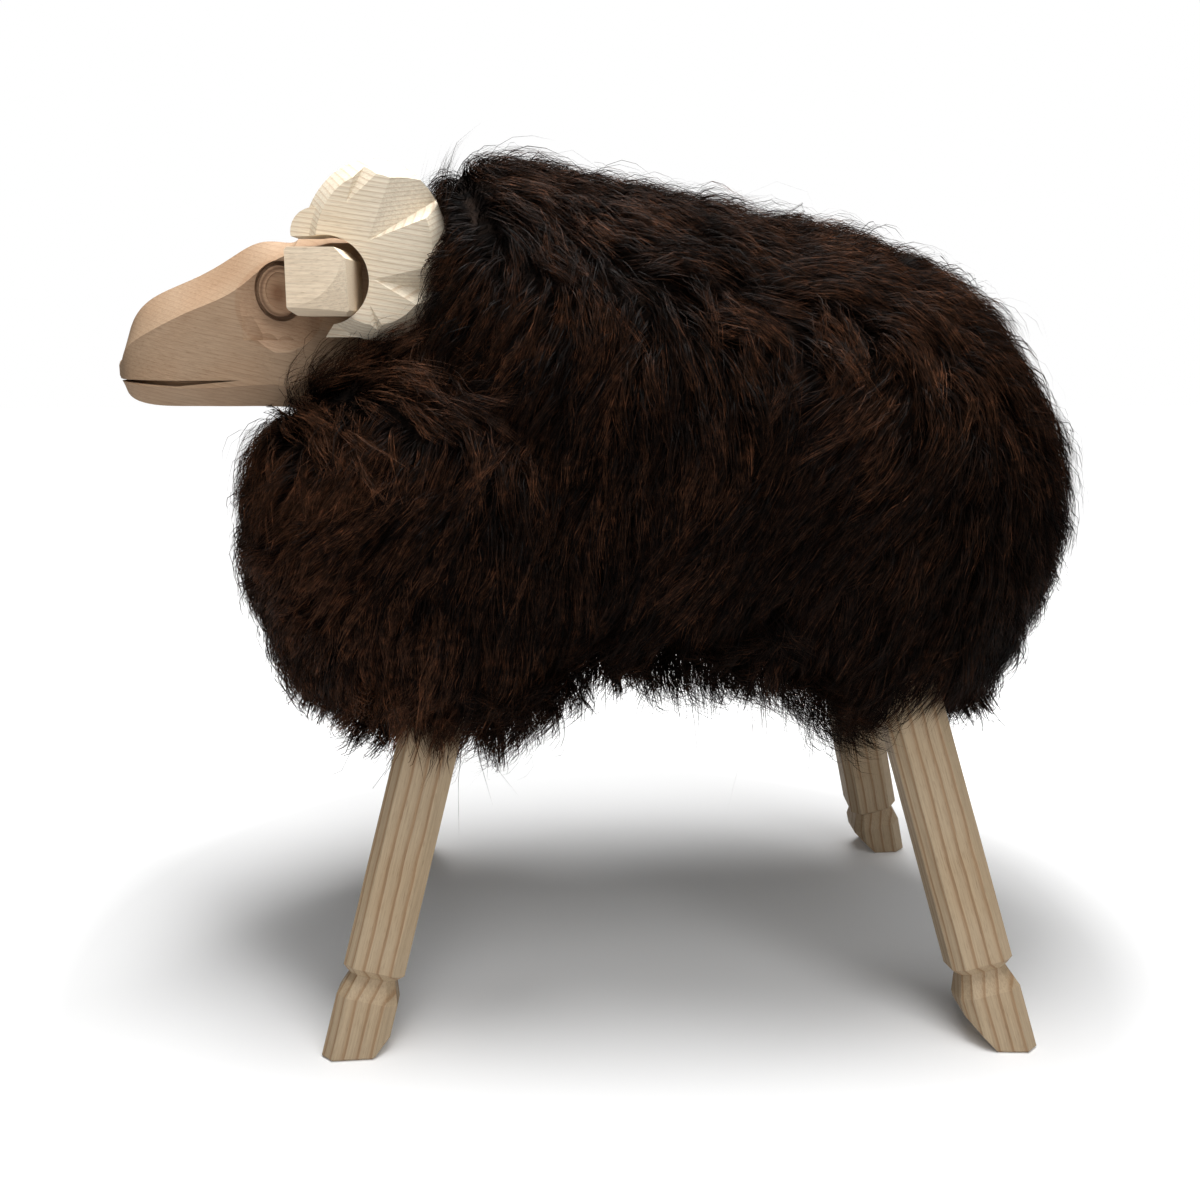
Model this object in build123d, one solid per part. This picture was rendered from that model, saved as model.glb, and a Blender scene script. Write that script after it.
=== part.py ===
"""Sheepskin stool in the shape of a sheep: carved wooden head, horns, ears and legs on a fleece body.

Millimetres, +Z up, the nose towards -X, the sheep's left flank towards -Y. The model is laid out about the
middle of the four feet and moved at the end so that the origin is the middle of its box's base.
"""

import os
from math import cos, radians, sin, tan

from build123d import *

# Stance: where the feet stand and how the legs lean
stance_length = 381.0
front_stance_width = 282.0
rear_stance_width = 293.0
front_rake = 14.1
front_splay = 13.9
rear_rake = 14.5
rear_splay = 14.9

# Legs, cut from square lath
leg_side = 36.0
leg_edge_chamfer = 6.5
ankle_height = 43.0
ankle_depth = 4.6
ankle_upper_slope = 4.5
ankle_lower_slope = 13.0
front_heel_cut = 7.0
rear_heel_cut = 13.0
sole_edge_chamfer = 1.5
tenon_diameter = 25.0
wedge_depth = 26.0
wedge_thickness = 4.0
wedge_tip_thickness = 0.8

# Wooden core inside the body
core_bottom = 250.0
block_length = 80.0
block_width = 200.0
block_height = 98.0
board_thickness = 26.0
board_width = 160.0
rail_thickness = 24.0
rail_height = 60.0
rail_centre = 52.0
rail_dowel_diameter = 10.0
rail_dowel_length = 60.0
post_length = 50.0
post_width = 64.0
post_height = 88.0
post_dowel_diameter = 12.0
post_dowel_length = 70.0
post_dowel_spacing = 36.0
neck_dowel_diameter = 14.0
neck_dowel_length = 64.0
neck_dowel_spacing = 44.0

# Screws that hold the seat board down
screw_shank_diameter = 5.0
screw_head_diameter = 10.0
screw_head_height = 3.0
screw_length = 60.0
screw_edge_distance = 22.0
screws_across = 4

# Head
head_length = 230.0
head_width = 68.0
head_height = 103.0
head_front = -342.0
head_seat_rise = 8.0
mouth_length = 80.0
mouth_height = 14.0
mouth_gap = 3.6
mouth_rise = 2.0
mouth_depth = 4.0
nostril_diameter = 4.0
nostril_depth = 5.0
nostril_height = 39.0
nostril_offset = 7.0
nostril_inset = 4.5

# Eye, carved into a shallow socket
eye_behind_nose = 106.0
eye_height = 69.0
eye_width = 25.0
eye_tall = 30.0
eye_groove = 2.8
eye_groove_depth = 2.6
eye_flat_width = 17.0
eye_flat_tall = 22.0
eye_flat_depth = 1.2
socket_radius = 28.5
socket_depth = 7.4
socket_drop = 8.0
cheek_cut_radius = 12.0
cheek_cut_depth = 4.4
cheek_cut_width = 9.0
cheek_cut_height = 14.0
cheek_cut_drop = 22.0
cheek_cut_shift = 7.0
cheek_cuts = 3

# Horns
horn_length = 85.0
horn_height = 102.0
horn_thickness = 32.0
horn_behind_nose = 168.0
horn_lift = 91.0
horn_rim_bevel = 9.0
horn_bore_diameter = 50.0
horn_tip_drop = 49.0
horn_tip_reach = 31.0
horn_tip_width = 26.0
horn_brow_drop = 4.0
horn_lobe_radius = 14.0
horn_lobe_reach = 34.0
horn_lobe_rise = 10.0
horn_dowel_diameter = 8.0
horn_dowel_length = 34.0

# Ears, each a short block on a round shank
ear_behind_nose = 139.5
ear_lift = 74.5
ear_length = 33.0
ear_tall = 37.0
ear_drop = 2.0
ear_reach = 64.0
ear_front_chamfer = 1.5
ear_rear_chamfer = 6.0
ear_low_chamfer = 3.0
ear_shank_diameter = 16.0
ear_shank_depth = 24.0
ear_round_radius = 32.0
ear_round_spread = 16.0
ear_round_depth = 9.0
ear_under_cut = 5.0
ear_under_length = 24.0

# Fleece body, measured to the mean surface of the wool
trunk_front = -138.0
trunk_rear = 243.0
trunk_top = 510.0
trunk_bottom = 175.0
trunk_width = 294.0
chest_front = -260.0
chest_rear = -20.0
chest_top = 430.0
chest_bottom = 168.0
chest_width = 284.0
back_radius = 132.0
belly_radius = 80.0
fleece_thickness = 26.0

# Tufts of wool that stand out and in by turns all over the body
tuft_spacing = 31.0
tuft_rise = 5.0

# Opening under the belly, closed by a cloth
belly_opening_length = 290.0
belly_opening_width = 112.0
belly_opening_radius = 30.0
cloth_thickness = 1.5
tack_shank_diameter = 2.0
tack_length = 12.0
tack_head_diameter = 8.0
tack_head_height = 1.6
tack_edge_distance = 9.0
tacks_along = 5
tacks_across = 3

# Clearances
glue_gap = 0.1
soft_gap = 0.3
foam_gap = 0.5
cut_overrun = 2.0

# Head cross-sections from the nose back: distance from the nose as a share of the head's length, then the
# ridge, the two carved lines, the cheek and the jaw, each as shares of half the width and of the height
head_section_shares = [
    (0.000, [(0.08, 0.27), (0.17, 0.26), (0.24, 0.24), (0.24, 0.18), (0.16, 0.155)]),
    (0.022, [(0.17, 0.36), (0.34, 0.325), (0.48, 0.29), (0.49, 0.15), (0.33, 0.085)]),
    (0.056, [(0.22, 0.54), (0.46, 0.45), (0.67, 0.37), (0.70, 0.13), (0.48, 0.03)]),
    (0.113, [(0.25, 0.647), (0.55, 0.54), (0.79, 0.44), (0.83, 0.12), (0.58, 0.005)]),
    (0.187, [(0.26, 0.720), (0.58, 0.61), (0.85, 0.52), (0.89, 0.11), (0.64, 0.0)]),
    (0.265, [(0.26, 0.800), (0.59, 0.68), (0.90, 0.59), (0.93, 0.11), (0.68, 0.0)]),
    (0.335, [(0.26, 0.893), (0.59, 0.77), (0.93, 0.66), (0.95, 0.12), (0.71, 0.0)]),
    (0.410, [(0.26, 0.962), (0.60, 0.865), (0.95, 0.775), (0.97, 0.13), (0.73, 0.0)]),
    (0.500, [(0.26, 0.985), (0.62, 0.935), (0.97, 0.890), (0.99, 0.14), (0.74, 0.005)]),
]
# The plain back of the head: where it starts, then a section in the same way
head_crown_share = 0.60
head_crown_shares = [(0.26, 0.985), (0.65, 0.97), (1.00, 0.94), (1.00, 0.17), (0.75, 0.01)]
# The head on the seat board, as shares of half its width and of its height above the board
head_back_shares = [(0.26, 0.98), (0.65, 0.97), (1.00, 0.94), (1.00, 0.14), (0.76, 0.0)]

# Body cross-sections from front to rear: place along the form, then top, bottom and width as shares of it
trunk_section_shares = [
    (0.000, 0.985, 0.355, 0.520),
    (0.025, 1.000, 0.287, 0.650),
    (0.080, 1.000, 0.191, 0.780),
    (0.160, 0.977, 0.113, 0.880),
    (0.300, 0.950, 0.113, 0.975),
    (0.480, 0.902, 0.096, 1.000),
    (0.655, 0.865, 0.000, 0.985),
    (0.800, 0.800, 0.022, 0.885),
    (0.890, 0.714, 0.105, 0.755),
    (0.955, 0.580, 0.195, 0.555),
    (0.988, 0.460, 0.270, 0.370),
    (1.000, 0.410, 0.330, 0.190),
]
chest_section_shares = [
    (0.000, 0.527, 0.408, 0.200),
    (0.012, 0.588, 0.347, 0.370),
    (0.045, 0.687, 0.261, 0.560),
    (0.120, 0.787, 0.160, 0.740),
    (0.260, 0.885, 0.050, 0.880),
    (0.470, 0.989, 0.000, 0.980),
    (0.680, 1.000, 0.026, 1.000),
    (1.000, 0.866, 0.229, 0.860),
]

# Chisel cuts in a horn: where each starts from the horn's middle, as shares of its length and height, then its
# direction and its opening above and below in degrees, and its depth at the rim as a share of the thickness
horn_cut_shares = [
    (-0.04, 0.05, 32.0, 38.0, 12.0, 0.55),
    (-0.01, -0.16, -12.0, 26.0, 20.0, 0.42),
    (-0.18, 0.25, 62.0, 10.0, 22.0, 0.30),
    (-0.38, 0.12, 165.0, 24.0, 26.0, 0.40),
    (-0.04, -0.30, -75.0, 16.0, 16.0, 0.35),
]

# Largest radii of a body section: the back's as shares of half its width and of its height, then the belly's
crown_limit_shares = (0.92, 0.55)
belly_limit_shares = (0.60, 0.35)
# Way round a body section, as a share of the way round the box that holds it
tuft_round_share = 0.83
# Least size of a section that is drawn in by the fleece's thickness, near the ends of the body
least_section_share = 0.30

# Horn dowels beside the horn's middle, as shares of the horn's length and height
horn_dowel_shares = [(0.14, -0.08), (0.02, -0.40)]

board_top = core_bottom + block_height + board_thickness
head_bottom = board_top - head_seat_rise
head_back = head_front + head_length
head_side = head_width / 2


def leg_axis(front, left):
    """Foot centre on the floor and the direction of one leg."""
    rake = front_rake if front else rear_rake
    splay = front_splay if front else rear_splay
    width = front_stance_width if front else rear_stance_width
    along = -1 if front else 1
    across = -1 if left else 1
    foot = Vector(along * stance_length / 2, across * width / 2, 0)
    lean = Vector(-along * tan(radians(rake)), -across * tan(radians(splay)), 1)
    return foot, lean


def leg_place(front, left):
    """Plane at a foot whose Z runs up the leg and whose X stays in the fore and aft plane."""
    foot, lean = leg_axis(front, left)
    fore_aft = Vector(0, 1, 0).cross(lean).normalized()
    return Plane(origin=foot, x_dir=fore_aft, z_dir=lean.normalized())


def block_middle(front):
    """Where a cross block stands, over the middle of its two leg tenons."""
    foot, lean = leg_axis(front, True)
    return foot.X + lean.X * (core_bottom + block_height / 2)


def lath_section(place, height, inset):
    """Chamfered square of the leg at a height along it, drawn in by inset on each side."""
    side = leg_side - 2 * inset
    edge = leg_edge_chamfer * side / leg_side
    face = Face(Wire.make_polygon(chamfered_square(side, edge), close=True))
    return place.location * Pos(0, 0, height) * face


def chamfered_square(side, edge):
    """Corner points of a square whose corners are cut off by edge."""
    half = side / 2
    short = half - edge
    return [
        (half, -short), (half, short), (short, half), (-short, half),
        (-half, short), (-half, -short), (-short, -half), (short, -half),
    ]


def slab(low, high):
    """Wide slab between two heights."""
    reach = 2 * stance_length
    middle = (low + high) / 2
    return Pos(0, 0, middle) * Box(reach, reach, high - low)


def tenon(place, clearance, low, high):
    """Round tenon of a leg between two heights of the block."""
    length = 2 * high
    rod = place.location * Pos(0, 0, length / 2) * Cylinder(tenon_diameter / 2 + clearance, length)
    return rod & slab(low, high)


def wedge(front, left):
    """Thin wedge driven down into the top of a tenon."""
    foot, lean = leg_axis(front, left)
    top = foot + lean * (core_bottom + block_height)
    high = [(-wedge_thickness / 2, 0), (wedge_thickness / 2, 0)]
    low = [(wedge_tip_thickness / 2, -wedge_depth), (-wedge_tip_thickness / 2, -wedge_depth)]
    profile = Face(Wire.make_polygon([(x, 0, z) for x, z in high + low], close=True))
    blade = extrude(profile, tenon_diameter, dir=(0, 1, 0), both=True)
    rod = leg_place(front, left).location * Cylinder(
        tenon_diameter / 2, 2 * board_top, align=(Align.CENTER, Align.CENTER, Align.MIN)
    )
    return Pos(top.X, top.Y, top.Z) * blade & rod


def leg(front, left):
    """Square leg with a carved ankle and hoof, flat on the floor, and a round tenon on top."""
    place = leg_place(front, left)
    heights = [
        (-leg_side, 0),
        (ankle_height - ankle_lower_slope, 0),
        (ankle_height, ankle_depth),
        (ankle_height + ankle_upper_slope, 0),
        (board_top, 0),
    ]
    shaft = loft([lath_section(place, height, inset) for height, inset in heights], ruled=True)
    shaft = shaft & slab(0, core_bottom)
    sole = shaft.faces().sort_by(Axis.Z)[0]
    shaft = chamfer(sole.edges(), sole_edge_chamfer)
    shaft -= heel_cutter(front, left)
    shaft += tenon(place, 0, core_bottom, core_bottom + block_height)
    return shaft - wedge(front, left)


def heel_cutter(front, left):
    """Wedge that cuts the hoof's inner bottom corner, towards the middle of the body."""
    foot, lean = leg_axis(front, left)
    inward = 1 if front else -1
    cut = front_heel_cut if front else rear_heel_cut
    corner = foot.X + inward * leg_side / 2 / cos(radians(front_rake if front else rear_rake))
    reach = leg_side
    points = [
        (corner - inward * cut, 0),
        (corner + inward * cut / 2, cut * 3 / 2),
        (corner + inward * reach, reach),
        (corner + inward * reach, -cut_overrun),
        (corner - inward * cut - inward * cut_overrun, -cut_overrun),
    ]
    profile = Face(Wire.make_polygon([(x, foot.Y, z) for x, z in points], close=True))
    return extrude(profile, leg_side, dir=(0, 1, 0), both=True)


def cross_block(front):
    """Thick block across the body, bored for two tenons, the rails' dowels and the post's dowels."""
    middle = block_middle(front)
    solid = Pos(middle, 0, core_bottom + block_height / 2) * Box(block_length, block_width, block_height)
    for left in (True, False):
        solid -= tenon(leg_place(front, left), glue_gap, core_bottom - cut_overrun, board_top)
    for fixing in rail_dowels(glue_gap) + seat_screws(glue_gap) + cloth_tacks(glue_gap):
        solid -= fixing
    if front:
        for dowel in post_dowels(glue_gap):
            solid -= dowel
    return solid


def seat_board():
    """Board on top of both blocks, from the front face of one to the back face of the other."""
    front = block_middle(True) - block_length / 2
    rear = block_middle(False) + block_length / 2
    middle = (front + rear) / 2
    height = core_bottom + block_height + board_thickness / 2
    solid = Pos(middle, 0, height) * Box(rear - front, board_width, board_thickness)
    for fixing in seat_screws(glue_gap) + post_dowels(glue_gap):
        solid -= fixing
    return solid


def side_rail(left):
    """Rail between the two blocks under the board."""
    across = -1 if left else 1
    front = block_middle(True) + block_length / 2
    rear = block_middle(False) - block_length / 2
    place = Pos((front + rear) / 2, across * rail_centre, core_bottom + rail_height / 2)
    solid = place * Box(rear - front, rail_thickness, rail_height)
    for fixing in rail_dowels(glue_gap) + cloth_tacks(glue_gap):
        solid -= fixing
    return solid


def rod_along_x(x, y, z, diameter, length, clearance):
    """Round rod along X, centred on a point."""
    return Pos(x, y, z) * Rot(0, 90, 0) * Cylinder(diameter / 2 + clearance, length + 2 * clearance)


def rod_along_y(x, y, z, diameter, length, clearance):
    """Round rod along Y, centred on a point."""
    return Pos(x, y, z) * Rot(90, 0, 0) * Cylinder(diameter / 2 + clearance, length + 2 * clearance)


def rail_dowels(clearance=0.0):
    """One dowel at each end of each rail."""
    rods = []
    joints = (block_middle(True) + block_length / 2, block_middle(False) - block_length / 2)
    for x in joints:
        for across in (-1, 1):
            y = across * rail_centre
            z = core_bottom + rail_height / 2
            rods.append(rod_along_x(x, y, z, rail_dowel_diameter, rail_dowel_length, clearance))
    return rods


def post_dowels(clearance=0.0):
    """Upright dowels that tie the neck post down through the board into the front block."""
    x = head_back + post_length / 2
    rods = []
    for across in (-1, 1):
        rod = Cylinder(post_dowel_diameter / 2 + clearance, post_dowel_length + 2 * clearance)
        rods.append(Pos(x, across * post_dowel_spacing / 2, board_top) * rod)
    return rods


def neck_dowels(clearance=0.0):
    """Level dowels that tie the head to the neck post."""
    rods = []
    for up in (-1, 1):
        z = board_top + post_height / 2 + up * neck_dowel_spacing / 2
        rods.append(rod_along_x(head_back, 0, z, neck_dowel_diameter, neck_dowel_length, clearance))
    return rods


def seat_screws(clearance=0.0):
    """Countersunk screws down through the board into the blocks."""
    screws = []
    span = board_width - 2 * screw_edge_distance
    for front in (True, False):
        away = -1 if front else 1
        x = block_middle(front) + away * (block_length / 2 - screw_edge_distance / 2)
        for index in range(screws_across):
            y = -span / 2 + span * index / (screws_across - 1)
            screws.append(Pos(x, y, board_top) * screw(clearance))
    return screws


def screw(clearance):
    """Countersunk wood screw, its head flush with z = 0."""
    shank_radius = screw_shank_diameter / 2 + clearance
    head_radius = screw_head_diameter / 2 + clearance
    upright = (Align.CENTER, Align.CENTER, Align.MAX)
    shank = Cylinder(shank_radius, screw_length, align=upright)
    head = Cone(shank_radius, head_radius, screw_head_height, align=upright)
    return shank + head


def neck_post():
    """Post on the seat board behind the head."""
    place = Pos(head_back + post_length / 2, 0, board_top + post_height / 2)
    solid = place * Box(post_length, post_width, post_height)
    for dowel in post_dowels(glue_gap) + neck_dowels(glue_gap):
        solid -= dowel
    return solid


def head_section(x, shares, bottom, height, inset):
    """Ten-sided cross-section of the head at x."""
    side = []
    for y_share, z_share in shares:
        y = max(y_share * head_side - inset, inset / 2)
        side.append((x, y, bottom + z_share * height))
    other = [(x, -y, z) for x, y, z in reversed(side)]
    return Face(Wire.make_polygon(side + other, close=True))


def head_blank(inset=0.0):
    """Head without its cuts, drawn in by inset all round but at the back."""
    sections = []
    bottom = head_bottom + inset
    for x_share, shares in head_section_shares:
        x = head_front + inset + x_share * (head_length - inset)
        sections.append(head_section(x, shares, bottom, head_height - 2 * inset, inset))
    front_part = loft(sections)
    board_front = block_middle(True) - block_length / 2
    rear_height = head_height - head_seat_rise - 2 * inset
    crown_x = head_front + head_crown_share * head_length
    crown = head_section(crown_x, head_crown_shares, bottom, head_height - 2 * inset, inset)
    joints = [sections[-1], crown]
    for x in (board_front - soft_gap, head_back):
        joints.append(head_section(x, head_back_shares, board_top + inset, rear_height, inset))
    reach = 2 * head_length
    sides = Pos(head_front, 0, board_top) * Box(reach, head_width - 2 * inset, reach)
    return (front_part + loft(joints, ruled=True)) & sides


def oval(width, tall, y_from, y_to):
    """Upright oval cylinder at the eye between two distances from the middle."""
    x = head_front + eye_behind_nose
    z = head_bottom + eye_height
    face = Plane(origin=(x, -y_from, z), x_dir=(1, 0, 0), z_dir=(0, -1, 0)) * Ellipse(width / 2, tall / 2)
    return extrude(face, y_to - y_from)


def eye_cutter():
    """Socket with the eye left standing in it, a groove round the eye and a flat cut into it."""
    x = head_front + eye_behind_nose
    z = head_bottom + eye_height - socket_drop
    ball_radius = (socket_radius**2 + socket_depth**2) / (2 * socket_depth)
    ball = Pos(x, -(head_side - socket_depth + ball_radius), z) * Sphere(ball_radius)
    outside = head_side + cut_overrun
    floor = head_side - socket_depth
    standing = oval(eye_width, eye_tall, floor - eye_groove_depth, outside)
    groove = oval(eye_width + 2 * eye_groove, eye_tall + 2 * eye_groove, floor - eye_groove_depth, outside)
    eye_face = head_side - socket_depth / 2
    flat = oval(eye_flat_width, eye_flat_tall, eye_face - eye_flat_depth, outside)
    front = oval(eye_width, eye_tall, eye_face, outside)
    return (ball + groove - standing) + front + flat


def cheek_cutters():
    """Shallow chisel cuts side by side under the eye."""
    cuts = []
    middle = head_front + eye_behind_nose - cheek_cut_shift
    z = head_bottom + eye_height - cheek_cut_drop
    for index in range(cheek_cuts):
        x = middle + (index - (cheek_cuts - 1) / 2) * cheek_cut_width
        y = -(head_side - cheek_cut_depth + cheek_cut_radius)
        cuts.append(Pos(x, y, z) * Cylinder(cheek_cut_radius, cheek_cut_height))
    return cuts


def nostril():
    """Small gouge beside the tip of the nose."""
    x = head_front + nostril_inset
    z = head_bottom + nostril_height
    place = Pos(x, -nostril_offset, z) * Rot(0, 90, 0)
    return place * Cylinder(nostril_diameter / 2, nostril_depth)


def mouth_groove():
    """Groove round the muzzle, lowest at the middle of its length."""
    reach = head_front + mouth_length
    widest = head_front + mouth_length / 2
    start = head_front - cut_overrun
    level = head_bottom + mouth_height
    points = [
        (start, level + mouth_rise - mouth_gap / 8),
        (widest, level - mouth_gap / 2),
        (reach, level + mouth_rise),
        (widest, level + mouth_gap / 2),
        (start, level + mouth_rise + mouth_gap / 8),
    ]
    profile = Face(Wire.make_polygon([(x, 0, z) for x, z in points], close=True))
    return extrude(profile, head_width, dir=(0, 1, 0), both=True) - head_blank(mouth_depth)


def head():
    """Carved head, bored for the ears, the horns' dowels and the neck dowels."""
    solid = head_blank() - mouth_groove()
    for cutter in [eye_cutter(), nostril()] + cheek_cutters():
        solid -= cutter
        solid -= mirror(cutter, Plane.XZ)
    for left in (True, False):
        solid -= flip(ear_shank(glue_gap), left)
        for dowel in horn_dowels_left(glue_gap):
            solid -= flip(dowel, left)
    for dowel in neck_dowels(glue_gap):
        solid -= dowel
    return solid


def flip(shape, left):
    """The left piece as modelled, or its mirror image for the right side."""
    return shape if left else mirror(shape, Plane.XZ)


def horn_middle():
    """Middle of a horn in the side view."""
    return head_front + horn_behind_nose, head_bottom + horn_lift


def ear_middle():
    """Axis of an ear and of the horn's bore in the side view."""
    return head_front + ear_behind_nose, head_bottom + ear_lift


def side_face(x, z, y):
    """Plane on a side of the head, facing outwards from its left side."""
    return Plane(origin=(x, -y, z), x_dir=(1, 0, 0), z_dir=(0, -1, 0))


def horn_cutter(x_share, z_share, direction, above, below, depth_share):
    """Chisel cut that starts at a point of the horn's face and deepens towards its rim."""
    x, z = horn_middle()
    x += x_share * horn_length
    z += z_share * horn_height
    outer = head_side + horn_thickness + glue_gap
    depth = 2 * depth_share * horn_thickness

    def point(angle, inward):
        turn = radians(angle)
        return Vector(x + horn_height * cos(turn), -(outer - inward), z + horn_height * sin(turn))

    far = [
        point(direction + above, -cut_overrun),
        point(direction, depth),
        point(direction - below, -cut_overrun),
    ]
    return loft([Face(Wire.make_polygon(far, close=True)), Vertex(x, -outer, z)], ruled=True)


def horn_left():
    """Coiled horn: a thick disc with a pointed tip, bored through, bevelled and cut with a chisel."""
    x, z = horn_middle()
    ear_x, ear_z = ear_middle()
    seat = head_side + glue_gap
    disc = extrude(side_face(x, z, seat) * Ellipse(horn_length / 2, horn_height / 2), horn_thickness)
    rim = disc.faces().sort_by(Axis.Y)[0].edges()
    solid = chamfer(rim, horn_rim_bevel) + horn_tip() + horn_lobe()
    bore_middle = -(seat + horn_thickness / 2)
    solid -= rod_along_y(ear_x, bore_middle, ear_z, horn_bore_diameter, horn_thickness, glue_gap)
    solid -= horn_mouth()
    for cut in horn_cut_shares:
        solid -= horn_cutter(*cut)
    for dowel in horn_dowels_left(glue_gap):
        solid -= dowel
    return solid.solids().sort_by(SortBy.VOLUME)[-1]


def horn_tip():
    """Pointed end of the horn, low at its front."""
    x, z = horn_middle()
    points = [
        (-horn_tip_reach, -horn_tip_drop),
        (0, -horn_tip_drop),
        (horn_tip_width, -horn_tip_drop + horn_tip_width / 2),
        (0, 0),
        (-horn_tip_reach + horn_tip_width / 2, -horn_tip_drop + horn_tip_width * 3 / 4),
    ]
    face = side_face(x, z, head_side + glue_gap) * Face(Wire.make_polygon(points, close=True))
    return extrude(face, horn_thickness - horn_rim_bevel, dir=(0, -1, 0))


def horn_lobe():
    """Start of the coil, a small lobe over the brow."""
    x, z = horn_middle()
    face = side_face(x - horn_lobe_reach, z + horn_lobe_rise, head_side + glue_gap) * Circle(horn_lobe_radius)
    return extrude(face, horn_thickness - horn_rim_bevel / 2)


def horn_mouth():
    """Open front of the coil, from the brow down to the middle of the bore."""
    ear_x, ear_z = ear_middle()
    brow = head_bottom + head_height - horn_brow_drop
    low = ear_z - horn_bore_diameter / 2
    place = Pos(ear_x - horn_length / 2, -head_side - horn_thickness / 2, (brow + low) / 2)
    return place * Box(horn_length, 2 * horn_thickness, brow - low)


def horn_dowels_left(clearance=0.0):
    """Hidden dowels between a horn and the side of the head."""
    x, z = horn_middle()
    rods = []
    for x_share, z_share in horn_dowel_shares:
        place = (x + x_share * horn_length, -head_side, z + z_share * horn_height)
        rods.append(rod_along_y(*place, horn_dowel_diameter, horn_dowel_length, clearance))
    return rods


def ear_shank(clearance=0.0):
    """Round shank of an ear inside the head."""
    x, z = ear_middle()
    y = -(head_side + glue_gap - ear_shank_depth / 2)
    return rod_along_y(x, y, z, ear_shank_diameter, ear_shank_depth, clearance)


def ear_left():
    """Short square ear that stands out through the horn, rounded off at its lower back corner."""
    x, z = ear_middle()
    z -= ear_drop
    outer = head_side + ear_reach
    block = side_face(x, z, head_side + glue_gap) * Face(Wire.make_polygon(ear_outline(), close=True))
    blank = extrude(block, ear_reach - glue_gap, dir=(0, -1, 0))
    corner_x = x - ear_length / 2
    corner_z = z + ear_tall / 2
    end = Pos(x, -outer + ear_round_depth / 2, z) * Box(2 * ear_length, ear_round_depth, 2 * ear_tall)
    flare = Pos(corner_x, -outer + ear_round_depth / 2, corner_z) * Rot(-90, 0, 0) * Cone(
        ear_round_radius, ear_round_radius + ear_round_spread, ear_round_depth
    )
    blank -= end - flare
    low = z - ear_tall / 2
    under = [
        (-(outer - ear_under_length), low - cut_overrun),
        (-(outer + cut_overrun), low - cut_overrun),
        (-(outer + cut_overrun), low + ear_under_cut),
    ]
    under_face = Face(Wire.make_polygon([(x, y, height) for y, height in under], close=True))
    under_cut = extrude(under_face, ear_length, dir=(1, 0, 0), both=True)
    return blank - under_cut + ear_shank()


def ear_outline():
    """Outline of the ear block in the side view, its corners cut off."""
    half_long = ear_length / 2
    half_tall = ear_tall / 2
    front = ear_front_chamfer
    rear = ear_rear_chamfer
    low = ear_low_chamfer
    return [
        (-half_long, -half_tall + low),
        (-half_long + low, -half_tall),
        (half_long - low, -half_tall),
        (half_long, -half_tall + low),
        (half_long, half_tall - rear),
        (half_long - rear, half_tall),
        (-half_long + front, half_tall),
        (-half_long, half_tall - front),
    ]


def body_section(x, top, bottom, width, inset):
    """Rounded cross-section of the body, wide and round on top, tighter under the belly."""
    middle = (top + bottom) / 2
    tall = max(top - bottom - 2 * inset, least_section_share * (top - bottom))
    half = max(width - 2 * inset, least_section_share * width) / 2
    high = middle + tall / 2
    low = middle - tall / 2
    crown = min(back_radius - inset, crown_limit_shares[0] * half, crown_limit_shares[1] * tall)
    belly = min(belly_radius - inset, belly_limit_shares[0] * half, belly_limit_shares[1] * tall)
    outline = Wire([
        Line((half, low + belly), (half, high - crown)),
        RadiusArc((half, high - crown), (half - crown, high), -crown),
        Line((half - crown, high), (crown - half, high)),
        RadiusArc((crown - half, high), (-half, high - crown), -crown),
        Line((-half, high - crown), (-half, low + belly)),
        RadiusArc((-half, low + belly), (belly - half, low), -belly),
        Line((belly - half, low), (half - belly, low)),
        RadiusArc((half - belly, low), (half, low + belly), -belly),
    ])
    return Plane(origin=(x, 0, 0), x_dir=(0, 1, 0), z_dir=(1, 0, 0)) * Face(outline)


def body_form(shares, front, rear, top, bottom, width, inset):
    """Loft through the sections of one swelling form, drawn in by inset all round."""
    height = top - bottom
    sections = []
    for x_share, top_share, bottom_share, width_share in shares:
        x = front + inset + x_share * (rear - front - 2 * inset)
        section_top = bottom + top_share * height
        section_bottom = bottom + bottom_share * height
        sections.append(body_section(x, section_top, section_bottom, width_share * width, inset))
    return loft(sections, ruled=True)


def tuft_rows(shares, length):
    """Rows of a form's table with even steps put between them where they are far apart."""
    rows = []
    for before, after in zip(shares, shares[1:]):
        steps = max(1, round((after[0] - before[0]) * length / tuft_spacing))
        for step in range(steps):
            rows.append([low + (high - low) * step / steps for low, high in zip(before, after)])
    return rows + [shares[-1]]


def tufted_section(x, top, bottom, width, rise, tufts, turn):
    """Section of the body as a polygon whose corners stand out and in by turns."""
    outline = body_section(x, top, bottom, width, 0).outer_wire()
    middle = Vector(x, 0, (top + bottom) / 2)
    start = outline.param_at_point(Vector(x, 0, top))
    corners = []
    for index in range(tufts):
        corner = outline @ ((start + index / tufts) % 1)
        outward = 1 if (index + turn) % 2 else -1
        corners.append(corner + (corner - middle).normalized() * outward * rise)
    return Face(Wire.make_polygon(corners, close=True))


def tufted_form(shares, front, rear, top, bottom, width):
    """Swelling form of the body with its relief of tufts, lower where the form narrows."""
    height = top - bottom
    length = rear - front
    tufts = 2 * round((width + height) / tuft_spacing * tuft_round_share)
    sections = []
    for x_share, top_share, bottom_share, width_share in tuft_rows(shares, length):
        section_top = bottom + top_share * height
        section_bottom = bottom + bottom_share * height
        turn = round(x_share * length / tuft_spacing)
        sections.append(tufted_section(
            front + x_share * length, section_top, section_bottom, width_share * width,
            tuft_rise * width_share, tufts, turn,
        ))
    return loft(sections, ruled=True)


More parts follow.
